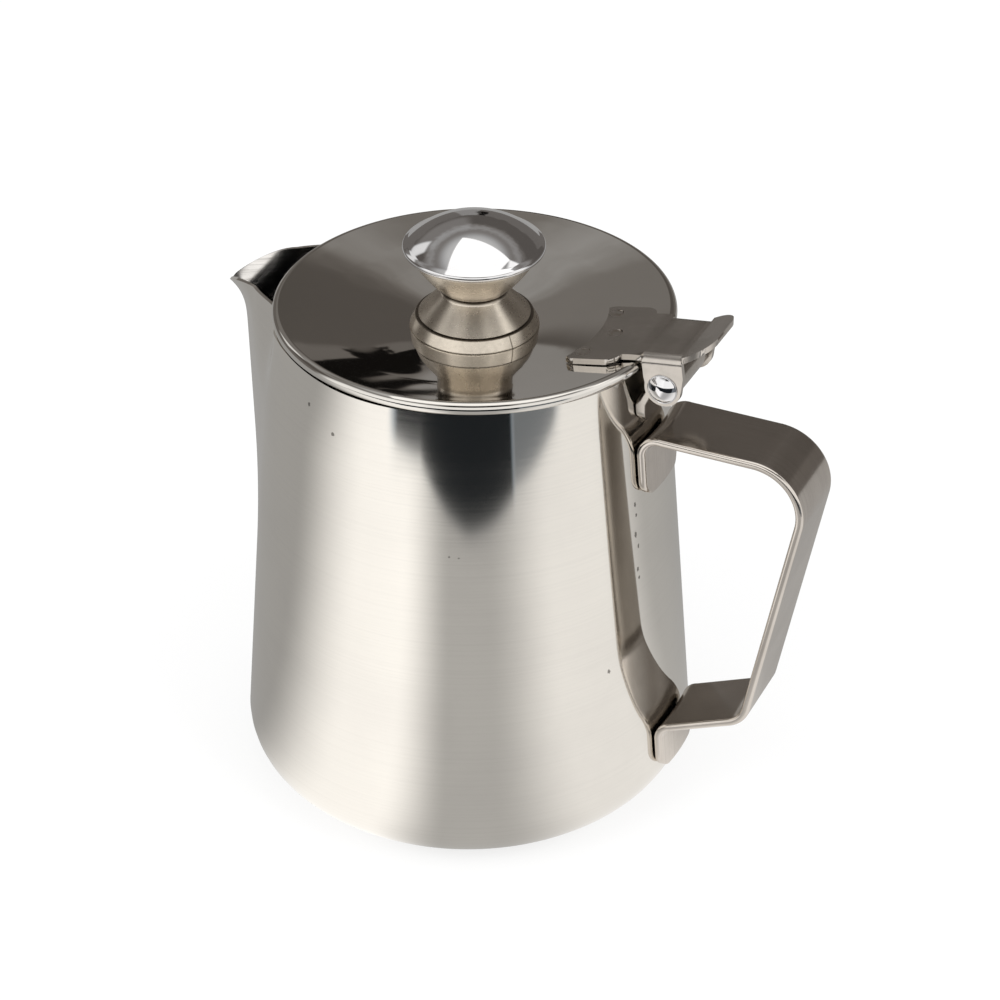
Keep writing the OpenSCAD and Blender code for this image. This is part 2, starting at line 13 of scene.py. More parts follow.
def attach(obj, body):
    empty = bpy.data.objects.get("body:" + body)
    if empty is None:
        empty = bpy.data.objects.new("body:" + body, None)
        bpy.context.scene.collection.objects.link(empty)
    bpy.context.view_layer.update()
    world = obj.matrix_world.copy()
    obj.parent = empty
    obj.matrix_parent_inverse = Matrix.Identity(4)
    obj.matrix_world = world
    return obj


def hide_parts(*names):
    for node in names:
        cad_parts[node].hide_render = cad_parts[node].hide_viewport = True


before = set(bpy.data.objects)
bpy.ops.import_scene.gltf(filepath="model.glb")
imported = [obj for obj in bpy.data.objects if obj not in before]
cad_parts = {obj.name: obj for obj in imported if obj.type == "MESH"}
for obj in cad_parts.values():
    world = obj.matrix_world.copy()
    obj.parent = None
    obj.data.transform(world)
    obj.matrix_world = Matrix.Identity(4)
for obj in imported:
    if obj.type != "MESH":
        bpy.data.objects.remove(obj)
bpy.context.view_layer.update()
MM = 0.001

# ---------------------------------------------------------------- sizes

# body
RIM_H = 126.2
BASE_R = 57.3
TAPER = 0.0833
TAPER_A = math.atan(TAPER)
FOOT_R = 38.0
CORNER_H = 15.0
WALL_T = 0.8
FOOT_RECESS = 0.7
FOOT_RINGS = ((22.0, FOOT_RECESS), (30.0, FOOT_RECESS), (32.5, 0.0))
RIM_EDGE = 0.3
# beak
BEAK_OUT = 12.7
BEAK_GROW = 0.1
BEAK_Z0 = 16.0
BEAK_Z1 = 50.0
KEEL_R = 3.0
LIP_CURL = 4.2
LIP_DROP = 6.5
LIP_A = math.radians(12)
LIP_Z0 = 106.0
PINCH = 3.4
PINCH_A = math.radians(25)
PINCH_W = math.radians(15.5)
# the rim beyond the pinch is pressed in under the lid's roll, on both sides; the CAD has no such press
SQUEEZE = 1.2
SQUEEZE_A = math.radians(52)
SQUEEZE_W = math.radians(38)
# handle
STRIP_W = 19.5
STRIP_T = 2.0
STRIP_EDGE = 0.8
WELD_GAP = 0.3
ARM_H = 108.9
GRIP_X = 90.7
LEG_LEAN = 13.4
LOW_X = GRIP_X - LEG_LEAN
LOW_SHARE = 0.335
LOW_Z = ARM_H * LOW_SHARE
TAB_LEN = 16.0
TAB_LOW_Z = ARM_H - TAB_LEN
FOOT_TAB_Z = 14.7
TAB_R = 4.0
TAB_CORNER = 4.5
LOOP_R = 12.0
HEEL_R = 7.0
HEEL_A = math.radians(66.4)
# lid
LID_OVER = 0.71
LID_R = BASE_R - TAPER * RIM_H + LID_OVER
LID_X = 2.2
LID_T = 0.8
ROLL_R = 1.5
ROLL_Z = 128.0
BOWL_DROP = 6.6
BOWL_SLOPE = math.radians(7)
BOWL_Z = ROLL_Z - BOWL_DROP
# the face of the dish is an arc that runs into the roll without a step
ROLL_X = LID_R - ROLL_R
ROLL_Q = ROLL_R - 0.02
BOWL_R = (ROLL_X ** 2 + BOWL_DROP ** 2 - ROLL_Q ** 2) / (
    2 * (BOWL_DROP * math.cos(BOWL_SLOPE) + ROLL_Q - ROLL_X * math.sin(BOWL_SLOPE)))
BOWL_IN = BOWL_R * math.sin(BOWL_SLOPE)
BOWL_UP = BOWL_Z + BOWL_R * math.cos(BOWL_SLOPE)
BOWL_EDGE = (ROLL_X + BOWL_IN) * BOWL_R / (BOWL_R + ROLL_Q) - BOWL_IN
SCREW_HOLE = 2.15
# hinge and lever
PIN_OUT = 7.41
PIN_X = BASE_R - TAPER * RIM_H + PIN_OUT
PIN_Z = 124.0
PIN_R = 2.0
NECK_W = 20.5
HEAD_R = 3.6
HEAD_H = 1.6
LEVER_EDGE = 0.15
LEAF_EDGE = 0.2
# knob
KNOB_Z = 144.0
KNOB_R = 16.7
CAP_EDGE = 0.9
CAP_TOP = 6.9
CAP_T = 0.9


def bowl_top(r):
    """Height of the dish of the lid at a distance from its centre."""
    return BOWL_UP - math.sqrt(BOWL_R ** 2 - (r + BOWL_IN) ** 2)


TOUCH = 0.05  # gap between the stacked pieces of the knob
FLANGE_R = 15.2
FLANGE_TOP_R = 13.9
FLANGE_H = 2.85
FLANGE_T = 0.9
FLANGE_WALL = 1.2
FLANGE_Z = bowl_top(FLANGE_R) + TOUCH
FLANGE_TOP = FLANGE_Z + FLANGE_H
SEAM_A = 61  # angle of the butt seam, in degrees from the front towards +x
COLLAR_R = 13.5
COLLAR_TOP_R = 7.6
COLLAR_T = 1.4
COLLAR_Z = FLANGE_TOP + TOUCH
COLLAR_H = 6.9
COLLAR_TOP = COLLAR_Z + COLLAR_H
CUP_R = 8.3
CUP_HOLE = 2.05
CUP_EDGE = 0.4
CUP_Z = COLLAR_TOP + TOUCH
CUP_PULL = (3.4, 2.6)
CUP_LIP_R = KNOB_R - CAP_EDGE - 0.5
CUP_LIP_Z = KNOB_Z - 1.1
CUP_FLOOR = 3.6
CUP_WALL = 1.2


# ---------------------------------------------------------------- outlines

def arc(cx, cz, radius, start, end, count):
    """Points of a round stretch, angles in degrees from +x towards +z."""
    turns = [math.radians(start + (end - start) * k / count) for k in range(count + 1)]
    return [(cx + radius * math.cos(t), cz + radius * math.sin(t)) for t in turns]


def rounded(corners, count=6):
    """A closed outline of (x, z, radius) corners with each corner turned into an arc."""
    points = []
    size = len(corners)
    for i, (x, z, radius) in enumerate(corners):
        if radius == 0:
            points.append((x, z))
            continue
        here = Vector((x, z))
        back = (Vector(corners[i - 1][:2]) - here).normalized()
        ahead = (Vector(corners[(i + 1) % size][:2]) - here).normalized()
        half = back.angle(ahead) / 2
        centre = here + (back + ahead).normalized() * radius / math.sin(half)
        first = here + back * radius / math.tan(half) - centre
        last = here + ahead * radius / math.tan(half) - centre
        turn = first.angle_signed(last)
        for k in range(count + 1):
            spoke = first.copy()
            spoke.rotate(Matrix.Rotation(-turn * k / count, 2))
            points.append(tuple(centre + spoke))
    return points


def fade(u):
    """0 to 1 with a soft start and end."""
    c = min(max(u, 0.0), 1.0)
    return c * c * (3 - 2 * c)


# ---------------------------------------------------------------- pieces

def finish_piece(name, mesh, material, nodes, body):
    """Turns a bmesh in millimetres into an object that stands for its CAD nodes."""
    mesh.transform(Matrix.Scale(MM, 4))
    data = bpy.data.meshes.new(name)
    mesh.to_mesh(data)
    mesh.free()
    for polygon in data.polygons:
        polygon.use_smooth = True
    data.materials.append(material)
    piece = bpy.data.objects.new(name, data)
    bpy.context.scene.collection.objects.link(piece)
    flats = piece.modifiers.new("even flats", "WEIGHTED_NORMAL")
    flats.weight = 90
    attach(piece, body)
    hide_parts(*nodes)
    return piece


def turned(outline, centre_x=0.0, closed=True, steps=192):
    """Spins an outline of (radius, height) points round a vertical axis."""
    mesh = bmesh.new()
    verts = [mesh.verts.new((centre_x + r, 0, z)) for r, z in outline]
    pairs = list(zip(verts, verts[1:]))
    if closed:
        pairs.append((verts[-1], verts[0]))
    edges = [mesh.edges.new(pair) for pair in pairs]
    bmesh.ops.spin(
        mesh, geom=verts + edges, cent=(centre_x, 0, 0), axis=(0, 0, 1),
        angle=math.tau, steps=steps, use_merge=True,
    )
    bmesh.ops.remove_doubles(mesh, verts=mesh.verts, dist=1e-4)
    bmesh.ops.recalc_face_normals(mesh, faces=mesh.faces)
    return mesh


def swept(rings, cap=True):
    """Joins closed rings of points by extruding the first ring through the others."""
    mesh = bmesh.new()
    ring = [mesh.verts.new(point) for point in rings[0]]
    edges = [mesh.edges.new((a, b)) for a, b in zip(ring, ring[1:] + ring[:1])]
    if cap:
        mesh.faces.new(ring)
    for points in rings[1:]:
        grown = bmesh.ops.extrude_edge_only(mesh, edges=edges)["geom"]
        fresh = {v for v in grown if isinstance(v, bmesh.types.BMVert)}
        edges = [e for e in grown if isinstance(e, bmesh.types.BMEdge) and set(e.verts) <= fresh]
        ring = [next(e.other_vert(v) for e in v.link_edges if e.other_vert(v) in fresh) for v in ring]
        for vert, point in zip(ring, points):
            vert.co = point
    if cap:
        mesh.faces.new(ring)
    bmesh.ops.recalc_face_normals(mesh, faces=mesh.faces)
    return mesh


SHARP_A = math.radians(30)


def soft_copy(node, width):
    """A merged copy of a CAD node in millimetres with its sharp edges broken."""
    mesh = bmesh.new()
    mesh.from_mesh(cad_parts[node].data)
    mesh.transform(Matrix.Scale(1 / MM, 4))
    bmesh.ops.remove_doubles(mesh, verts=mesh.verts, dist=0.002)
    bmesh.ops.dissolve_limit(
        mesh, angle_limit=math.radians(1), verts=mesh.verts, edges=mesh.edges,
        use_dissolve_boundaries=False, delimit={"NORMAL"},
    )
    sharp = [e for e in mesh.edges if len(e.link_faces) == 2 and e.calc_face_angle() > SHARP_A]
    bmesh.ops.bevel(
        mesh, geom=sharp, offset=width, segments=3, profile=0.5, material=-1,
        affect="EDGES", clamp_overlap=True,
    )
    return mesh


# ---------------------------------------------------------------- finishes

class Value:
    """A shader socket that Python's own operators work on."""

    def __init__(self, finish, socket):
        self.finish = finish
        self.socket = socket

    def math(self, operation, *others):
        return self.finish.node("ShaderNodeMath", {"operation": operation}, dict(enumerate((self, *others))))

    def __add__(self, other):
        return self.math("ADD", other)

    def __radd__(self, other):
        return self.math("ADD", other)

    def __sub__(self, other):
        return self.math("SUBTRACT", other)

    def __rsub__(self, other):
        return self.finish.node("ShaderNodeMath", {"operation": "SUBTRACT"}, {0: other, 1: self})

    def __mul__(self, other):
        return self.math("MULTIPLY", other)

    def __rmul__(self, other):
        return self.math("MULTIPLY", other)

    def __truediv__(self, other):
        return self.math("DIVIDE", other)

    def ramp(self, low, high, start=0.0, end=1.0):
        """Maps low..high to start..end with a soft start and end."""
        return self.finish.node(
            "ShaderNodeMapRange", {"interpolation_type": "SMOOTHSTEP"},
            {"Value": self, "From Min": low, "From Max": high, "To Min": start, "To Max": end},
        )

    def window(self, low, high, soft):
        """1 between low and high, fading to 0 over soft on either side of each."""
        rise = self.ramp(low - soft, low + soft)
        fall = self.ramp(high - soft, high + soft)
        return rise * (1 - fall)


class Finish:
    """The node tree of one material, or of the world."""

    def __init__(self, tree):
        self.tree = tree
        self.tree.nodes.clear()

    def node(self, kind, settings=None, values=None, output=0):
        """Adds a node with its settings and the values or sockets of its inputs."""
        made = self.tree.nodes.new(kind)
        for key, setting in (settings or {}).items():
            setattr(made, key, setting)
        for key, value in (values or {}).items():
            socket = made.inputs[key]
            if isinstance(value, Value):
                self.tree.links.new(value.socket, socket)
            else:
                socket.default_value = value
        return Value(self, made.outputs[output]) if made.outputs else None

    def place(self, scale=(1, 1, 1), shift=(0, 0, 0)):
        """Object coordinates in metres, scaled and then moved."""
        coords = self.node("ShaderNodeTexCoord", output="Object")
        return self.node("ShaderNodeMapping", {}, {"Vector": coords, "Scale": scale, "Location": shift})

    def noise(self, where, scale, detail):
        return self.node(
            "ShaderNodeTexNoise", {},
            {"Vector": where, "Scale": scale, "Detail": detail, "Roughness": 0.55},
        )

    def axes(self, vector):
        """The three parts of a vector."""
        return [self.node("ShaderNodeSeparateXYZ", {}, {"Vector": vector}, output=axis) for axis in "XYZ"]

    def azimuth(self, vector):
        """Angle of a vector from -y towards +x, in degrees."""
        x, y, _ = self.axes(vector)
        return x.math("ARCTAN2", y * -1.0) * (180 / math.pi)

    def blend(self, factor, first, second):
        """Colour between two colours, first where the factor is 0."""
        first, second = (c if isinstance(c, Value) else (*c, 1) for c in (first, second))
        return self.node("ShaderNodeMix", {"data_type": "RGBA"}, {0: factor, 6: first, 7: second}, output=2)


def new_finish(name):
    material = bpy.data.materials.new(name)
    material.use_nodes = True
    finish = Finish(material.node_tree)
    finish.material = material
    return finish


def steel(finish, colour, roughness, height, depth, anisotropic=0.0, turn=0.0):
    """Ends a finish: a metal with the given colour, roughness and relief."""
    bump = finish.node(
        "ShaderNodeBump", {}, {"Height": height, "Distance": depth * MM, "Strength": 1.0}
    )
    shader = finish.node(
        "ShaderNodeBsdfPrincipled", {},
        {
            "Base Color": colour, "Metallic": 1.0, "Roughness": roughness, "Normal": bump,
            "Anisotropic": anisotropic, "Anisotropic Rotation": turn,
        },
    )
    finish.node("ShaderNodeOutputMaterial", {}, {"Surface": shader})
    return finish.material


# small dark marks on the body: angle from the front (-y) towards +x, height, width in degrees, height in mm
MARKS = (
    (-24.2, 119.0, 0.5, 0.6), (-13.9, 115.0, 0.7, 0.5), (21.0, 90.0, 0.25, 0.25), (23.5, 89.7, 0.25, 0.2),
    (64.8, 51.0, 0.5, 0.6), (77.6, 91.5, 0.5, 0.7), (78.0, 88.5, 0.4, 0.5), (77.3, 83.5, 0.5, 0.9),
    (78.2, 80.0, 0.4, 0.6), (77.5, 74.0, 0.5, 0.7), (77.9, 71.5, 0.4, 0.5),
)


def body_marks(f):
    """Scuffs and specks where the photo shows them, 1 inside a mark."""
    where = f.place()
    ragged = (f.noise(where, 2500.0, 2.0) - 0.5) * 1.6
    around = f.azimuth(where)
    height = f.axes(where)[2] * (1 / MM)
    total = 0.0
    for angle, z, wide, tall in MARKS:
        across = (around - angle) * (1 / wide)
        up = (height - z) * (1 / tall)
        distance = (across * across + up * up).math("SQRT") + ragged
        total = distance.ramp(0.7, 1.1, 1.0, 0.0) + total
    return total.math("MINIMUM", 0.75)


def body_steel():
    """Satin steel brushed round the body."""
    f = new_finish("body steel")
    lines = f.noise(f.place(scale=(12, 12, 2600)), 1.0, 2.0)
    bands = f.noise(f.place(scale=(5, 5, 160)), 1.0, 3.0)
    clouds = f.noise(f.place(), 34.0, 4.0)
    tint = f.blend(clouds.ramp(0.35, 0.7), (0.86, 0.835, 0.79), (0.82, 0.795, 0.755))
    colour = f.blend(lines.ramp(0.35, 0.75) * 0.12, tint, (0.70, 0.68, 0.65))
    colour = f.blend(body_marks(f), colour, (0.10, 0.09, 0.08))
    roughness = 0.045 + lines * 0.03 + bands * 0.02
    return steel(f, colour, roughness, lines * 0.6 + bands * 0.4, 0.0002, 0.8, 0.25)


def inside_steel():
    """Duller brushed steel of the inside of the jug, streaked round it."""
    f = new_finish("inside steel")
    streaks = f.noise(f.place(scale=(30, 30, 1500)), 1.0, 3.0)
    clouds = f.noise(f.place(), 50.0, 4.0)
    tint = f.blend(clouds.ramp(0.35, 0.7), (0.88, 0.86, 0.84), (0.80, 0.78, 0.76))
    colour = f.blend(streaks.ramp(0.45, 0.7) * 0.6, tint, (0.5, 0.48, 0.46))
    return steel(f, colour, 0.14 + streaks * 0.1, streaks, 0.004)


def strip_steel():
    """Satin steel of the handle strip, brushed along its length."""
    f = new_finish("strip steel")
    lines = f.noise(f.place(scale=(14, 2200, 14)), 1.0, 2.0)
    clouds = f.noise(f.place(), 60.0, 4.0)
    tint = f.blend(clouds.ramp(0.35, 0.7), (0.74, 0.69, 0.64), (0.64, 0.595, 0.55))
    colour = f.blend(lines.ramp(0.4, 0.75) * 0.25, tint, (0.52, 0.48, 0.44))
    roughness = 0.1 + lines * 0.05 + clouds * 0.05
    return steel(f, colour, roughness, lines, 0.0002)


def lid_steel():
    """Polished steel of the lid, with faint spun rings and wiping marks."""
    f = new_finish("lid steel")
    x, y, _ = f.axes(f.place(shift=(-LID_X * MM, 0, 0)))
    radius = (x * x + y * y).math("SQRT")
    rings = f.node(
        "ShaderNodeTexNoise", {"noise_dimensions": "1D"},
        {"W": radius, "Scale": 1500.0, "Detail": 3.0},
    )
    clouds = f.noise(f.place(), 22.0, 4.0)
    colour = f.blend(clouds.ramp(0.3, 0.7), (0.78, 0.755, 0.72), (0.72, 0.70, 0.665))
    roughness = 0.02 + clouds.ramp(0.35, 0.75, 0.0, 0.04) + rings * 0.02
    ripple = radius.window(20 * MM, 31 * MM, 5 * MM) + clouds * 0.25
    return steel(f, colour, roughness, ripple + rings * 0.0004, 0.12)


def dome_steel():
    """Mirror of the knob cap and the pin heads."""
    f = new_finish("dome steel")
    clouds = f.noise(f.place(), 90.0, 4.0)
    colour = f.blend(clouds.ramp(0.3, 0.7), (0.86, 0.86, 0.875), (0.80, 0.80, 0.82))
    roughness = 0.04 + clouds.ramp(0.4, 0.8, 0.0, 0.06)
    return steel(f, colour, roughness, clouds, 0.0006)


def turned_steel():
    """Satin turned steel of the knob's cup, collar and ring, with a painted shadow under the cup, a dark line
    where the collar meets the ring, and a dark butt seam.
    """
    f = new_finish("turned steel")
    around = f.place(shift=(-LID_X * MM, 0, 0))
    height = f.axes(around)[2] * (1 / MM)
    lines = f.noise(f.place(scale=(20, 20, 3000)), 1.0, 2.0)
    grain = f.noise(f.place(), 1300.0, 3.0)
    clouds = f.noise(f.place(), 120.0, 4.0)
    tint = f.blend(clouds.ramp(0.35, 0.7), (0.78, 0.71, 0.61), (0.66, 0.60, 0.52))
    worn = f.blend(grain.ramp(0.45, 0.8) * 0.35, tint, (0.5, 0.45, 0.39))
    # painted shadow under the cup, darkening the collar's top and the cup's foot
    cup_shadow_and_foot_line = height.window(CUP_Z - 0.9, CUP_Z + 0.1, 0.35)
    # a dark line where the collar meets the ring
    cup_shadow_and_foot_line = cup_shadow_and_foot_line + height.window(FLANGE_TOP - 0.1, FLANGE_TOP + 0.3, 0.15)
    butt = f.azimuth(around).window(SEAM_A - 0.5, SEAM_A + 0.5, 0.4)
    butt = butt * height.ramp(FLANGE_TOP - 0.1, FLANGE_TOP, 1.0, 0.0)
    # the painted shadow under the cup, the dark line at the collar's foot and the butt seam darken the colour
    colour = f.blend((cup_shadow_and_foot_line + butt).math("MINIMUM", 0.85), worn, (0.10, 0.08, 0.06))
    roughness = 0.22 + grain * 0.08 + lines * 0.05
    return steel(f, colour, roughness, grain * 0.6 + lines * 0.4, 0.003, 0.6, 0.25)


def lever_steel():
    """Grey satin sheet of the thumb lever and the hinge leaf."""
    f = new_finish("lever steel")
    lines = f.noise(f.place(scale=(30, 1500, 30)), 1.0, 2.0)
    clouds = f.noise(f.place(), 150.0, 4.0)
    tint = f.blend(clouds.ramp(0.35, 0.7), (0.60, 0.56, 0.52), (0.52, 0.49, 0.45))
    colour = f.blend(lines.ramp(0.4, 0.75) * 0.2, tint, (0.42, 0.39, 0.36))
    roughness = 0.17 + lines * 0.05 + clouds * 0.05
    return steel(f, colour, roughness, lines, 0.0004)


def weld_steel():
    """Dull, heat-marked metal of the spot welds."""
    f = new_finish("weld steel")
    clouds = f.noise(f.place(), 700.0, 4.0)
    colour = f.blend(clouds.ramp(0.35, 0.7), (0.42, 0.39, 0.36), (0.3, 0.26, 0.22))
    return steel(f, colour, 0.35 + clouds * 0.2, clouds, 0.01)


def screw_steel():
    """Plain steel of the screw and its washer."""
    f = new_finish("screw steel")
    clouds = f.noise(f.place(), 400.0, 4.0)
    colour = f.blend(clouds.ramp(0.35, 0.7), (0.62, 0.62, 0.62), (0.5, 0.5, 0.5))
    return steel(f, colour, 0.25 + clouds * 0.15, clouds, 0.003)


BODY = body_steel()
INSIDE = inside_steel()
STRIP = strip_steel()
LID = lid_steel()
DOME = dome_steel()
TURNED = turned_steel()
LEVER = lever_steel()
WELD = weld_steel()
SCREW = screw_steel()


# ---------------------------------------------------------------- jug

def wall_r(z):
    return BASE_R - TAPER * z


def outline_r(a, z):
    """Distance of the wall from the axis at angle a from the beak: a circle and its tangents to the keel."""
    r = wall_r(z)
    reach = (BEAK_OUT - BEAK_GROW * (RIM_H - z)) * fade((z - BEAK_Z0) / (BEAK_Z1 - BEAK_Z0))
    d = r + reach - KEEL_R
    t = math.acos(min((r - KEEL_R) / d, 1.0))
    at = math.atan2(KEEL_R * math.sin(t), d + KEEL_R * math.cos(t))
    if a >= t:
        return r
    if a > at:
        return r / math.cos(t - a)
    return d * math.cos(a) + math.sqrt(max(KEEL_R ** 2 - (d * math.sin(a)) ** 2, 0.0))


def dent(a, z):
    """How far the wall is pressed in at angle a from the beak: the pinched flank, and the rim beyond it."""
    depth = 0.0
    for size, middle, width in ((PINCH, PINCH_A, PINCH_W), (SQUEEZE, SQUEEZE_A, SQUEEZE_W)):
        if abs(a - middle) < width:
            depth += size * math.cos(math.pi / 2 * (a - middle) / width) ** 2
    return depth * fade((z - LIP_Z0) / (RIM_H - LIP_Z0))


def lip_point(s, a):
    """A point of the uppermost wall, which curls out near the keel; s runs from 0 to 1 at the rim."""
    near = max(1 - a / LIP_A, 0.0)
    grow = 1 - (a / LIP_A) ** 2 if a < LIP_A else 0.0
    top = RIM_H - LIP_DROP * near ** 1.5
    z = LIP_Z0 + (top - LIP_Z0) * s
    return outline_r(a, z) + LIP_CURL * grow * s ** 5 - dent(a, z), z


def wall_rings(columns=240):
    """Rings of the outer skin, from the foot to the rim, the same on both sides of the beak."""
    half = columns // 2
    angles = [math.pi * (k / half) ** 1.5 for k in range(half + 1)]
    angles += [-a for a in reversed(angles[1:-1])]
    corner_r = wall_r(CORNER_H) - FOOT_R
    profiles = [lambda a, r=r, z=z: (r, z) for r, z in FOOT_RINGS]
    for k in range(13):
        b = math.pi / 2 * k / 12
        profiles.append(lambda a, b=b: (FOOT_R + corner_r * math.sin(b), CORNER_H * (1 - math.cos(b))))
    for k in range(1, 25):
        z = CORNER_H + (LIP_Z0 - CORNER_H) * k / 24
        profiles.append(lambda a, z=z: (outline_r(a, z), z))
    for k in range(1, 21):
        profiles.append(lambda a, s=math.sin(math.pi / 2 * k / 20): lip_point(s, a))
    rings = []
    for profile in profiles:
        ring = []
        for a in angles:
            r, z = profile(abs(a))
            ring.append((-r * math.cos(a), r * math.sin(a), z))
        rings.append(ring)
    return rings


def make_jug_wall():
    """The body: an open skin given its sheet thickness, with a rounded rim."""
    mesh = swept(wall_rings(), cap=False)
    bottom = [e for e in mesh.edges if e.is_boundary and e.verts[0].co.z < 5]
    bmesh.ops.edgeloop_fill(mesh, edges=bottom)
    bmesh.ops.recalc_face_normals(mesh, faces=mesh.faces)
    outward = sum(f.normal.x * f.calc_center_median().x for f in mesh.faces)
    if outward < 0:
        bmesh.ops.reverse_faces(mesh, faces=mesh.faces)
    bmesh.ops.solidify(mesh, geom=mesh.faces, thickness=WALL_T)
    rim = [e for e in mesh.edges if len(e.link_faces) == 2 and e.calc_face_angle() > math.radians(60)
           and e.verts[0].co.z > 100]
    bmesh.ops.bevel(
        mesh, geom=rim, offset=RIM_EDGE, segments=3, profile=0.5, material=-1,
        affect="EDGES", clamp_overlap=True,
    )
    for face in mesh.faces:
        centre = face.calc_center_median()
        inward = centre.x * face.normal.x + centre.y * face.normal.y < -0.3 * centre.xy.length
        face.material_index = 1 if inward or (face.normal.z > 0.7 and centre.z < 20) else 0
    wall = finish_piece("jug_wall", mesh, BODY, ["jug_shell"], "jug")
    wall.data.materials.append(INSIDE)
    return wall


# ---------------------------------------------------------------- handle

def seat_x(z):
    """Middle of a strip that lies on the wall at height z."""
    return wall_r(z) + (WELD_GAP + STRIP_T / 2) / math.cos(TAPER_A)


def handle_runs():
    """Straights and bends of the strip: (length or turn, bend radius, steps, seat at start, seat at end)."""
    leg_a = math.atan((GRIP_X - LOW_X) / (ARM_H - LOW_Z))
    top_len = (ARM_H - TAB_R * (1 + math.sin(TAPER_A)) - TAB_LOW_Z) / math.cos(TAPER_A)
    arm_x = seat_x(TAB_LOW_Z) - top_len * math.sin(TAPER_A) + TAB_R * math.cos(TAPER_A)
    loop_cut = LOOP_R * math.tan((math.pi / 2 + leg_a) / 2)
    heel_turn = HEEL_A - leg_a
    heel_cut = HEEL_R * math.tan(heel_turn / 2)
    foot_turn = HEEL_A + TAPER_A
    foot_cut = TAB_R * math.tan(foot_turn / 2)
    low_len = (LOW_X - seat_x(LOW_Z)) / (math.sin(HEEL_A) + TAPER * math.cos(HEEL_A))
    knee_z = LOW_Z - math.cos(HEEL_A) * low_len
    foot_len = (knee_z - FOOT_TAB_Z) / math.cos(TAPER_A) - foot_cut
    leg_len = math.hypot(GRIP_X - LOW_X, ARM_H - LOW_Z) - loop_cut - heel_cut
    return [
        (top_len, 0, 24, 1, 1),
        (math.pi / 2 + TAPER_A, TAB_R, 20, 1, 0),
        (GRIP_X - loop_cut - arm_x, 0, 4, 0, 0),
        (math.pi / 2 + leg_a, LOOP_R, 40, 0, 0),
        (leg_len, 0, 6, 0, 0),
        (heel_turn, HEEL_R, 20, 0, 0),
        (low_len - heel_cut - foot_cut, 0, 4, 0, 0),
        (-foot_turn, TAB_R, 20, 0, -1),
        (foot_len, 0, 24, -1, -1),
    ]


def handle_line():
    """Stations along the strip: x, z, heading, seat, distance from the nearer free end."""
    runs = handle_runs()
    x, z, heading = seat_x(TAB_LOW_Z), TAB_LOW_Z, -TAPER_A
    line = []
    for i, (size, radius, steps, seat0, seat1) in enumerate(runs):
        first, last = i == 0, i == len(runs) - 1
        for k in range(steps + (1 if last else 0)):
            t = k / steps
            if first:
                t = 1 - math.cos(math.pi / 2 * t)
            if last:
                t = math.sin(math.pi / 2 * t)
            px, pz, ph = run_point(x, z, heading, size, radius, t)
            end = t * size if first else (1 - t) * size if last else STRIP_W
            line.append((px, pz, ph, seat0 + (seat1 - seat0) * t, end))
        x, z, heading = run_point(x, z, heading, size, radius, 1.0)
    return line


def run_point(x, z, heading, size, radius, t):
    """Place and heading at the share t of a straight or a bend that starts at x, z."""
    if radius == 0:
        return x + size * t * math.sin(heading), z + size * t * math.cos(heading), heading
    side = math.copysign(radius, size)
    turned_to = heading + size * t
    return (
        x + side * (math.cos(heading) - math.cos(turned_to)),
        z - side * (math.sin(heading) - math.sin(turned_to)),
        turned_to,
    )


def make_handle():
    """The strip handle: a section with round edges swept along the line."""
    flat = STRIP_W / 2 - STRIP_EDGE
    side = arc(flat, STRIP_T / 2 - STRIP_EDGE, STRIP_EDGE, 0, 90, 6)
    width_steps = [(flat * (1 - k / 8), STRIP_T / 2) for k in range(1, 16)]
    quarter = side + width_steps
    other = [(-u, v) for u, v in reversed(side)]
    top = quarter + other
    section = top + [(u, -v) for u, v in reversed(top)]
    section = [p for i, p in enumerate(section) if p != section[i - 1]]
    rings = []
    for x, z, heading, seat, end in handle_line():
        half = STRIP_W / 2
        if end < TAB_CORNER:
            half += math.sqrt(max(TAB_CORNER ** 2 - (TAB_CORNER - end) ** 2, 0)) - TAB_CORNER
        thin = 1.0
        if end < STRIP_EDGE:
            thin = 0.45 + 0.55 * math.sqrt(max(1 - (1 - end / STRIP_EDGE) ** 2, 0))
        ring = []
        for u, v in section:
            y = u * half * 2 / STRIP_W
            r = seat_x(z)
            w = v * thin - seat * (r - math.sqrt(r * r - y * y))
            ring.append((x + w * math.cos(heading), y, z - w * math.sin(heading)))
        rings.append(ring)
    mesh = swept(rings)
    return finish_piece("handle_strip", mesh, STRIP, ["handle"], "jug")


# ---------------------------------------------------------------- lid and knob

def make_lid():
    """The lid: a shallow bowl whose edge is rolled under."""
    radii = [SCREW_HOLE + (BOWL_EDGE - SCREW_HOLE) * k / 30 for k in range(31)]
    top = [(r, bowl_top(r)) for r in radii[:-1]]
    lean = math.degrees(math.asin((BOWL_EDGE + BOWL_IN) / BOWL_R))
    roll = arc(ROLL_X, ROLL_Z, ROLL_R, 90 + lean, -150, 40)
    under = [(r, bowl_top(r) - LID_T) for r in reversed(radii)]
    mesh = turned(top + roll + under, LID_X, steps=256)
    return finish_piece("lid_plate", mesh, LID, ["lid"], "lid")


def cup_line(foot, lip, count=16):
    """A face of the cup: a curve from foot to lip drawn towards a corner."""
    start, end = Vector(foot), Vector(lip)
    corner = start + Vector(CUP_PULL)
    steps = [k / count for k in range(count + 1)]
    return [tuple((1 - t) ** 2 * start + 2 * t * (1 - t) * corner + t * t * end) for t in steps]


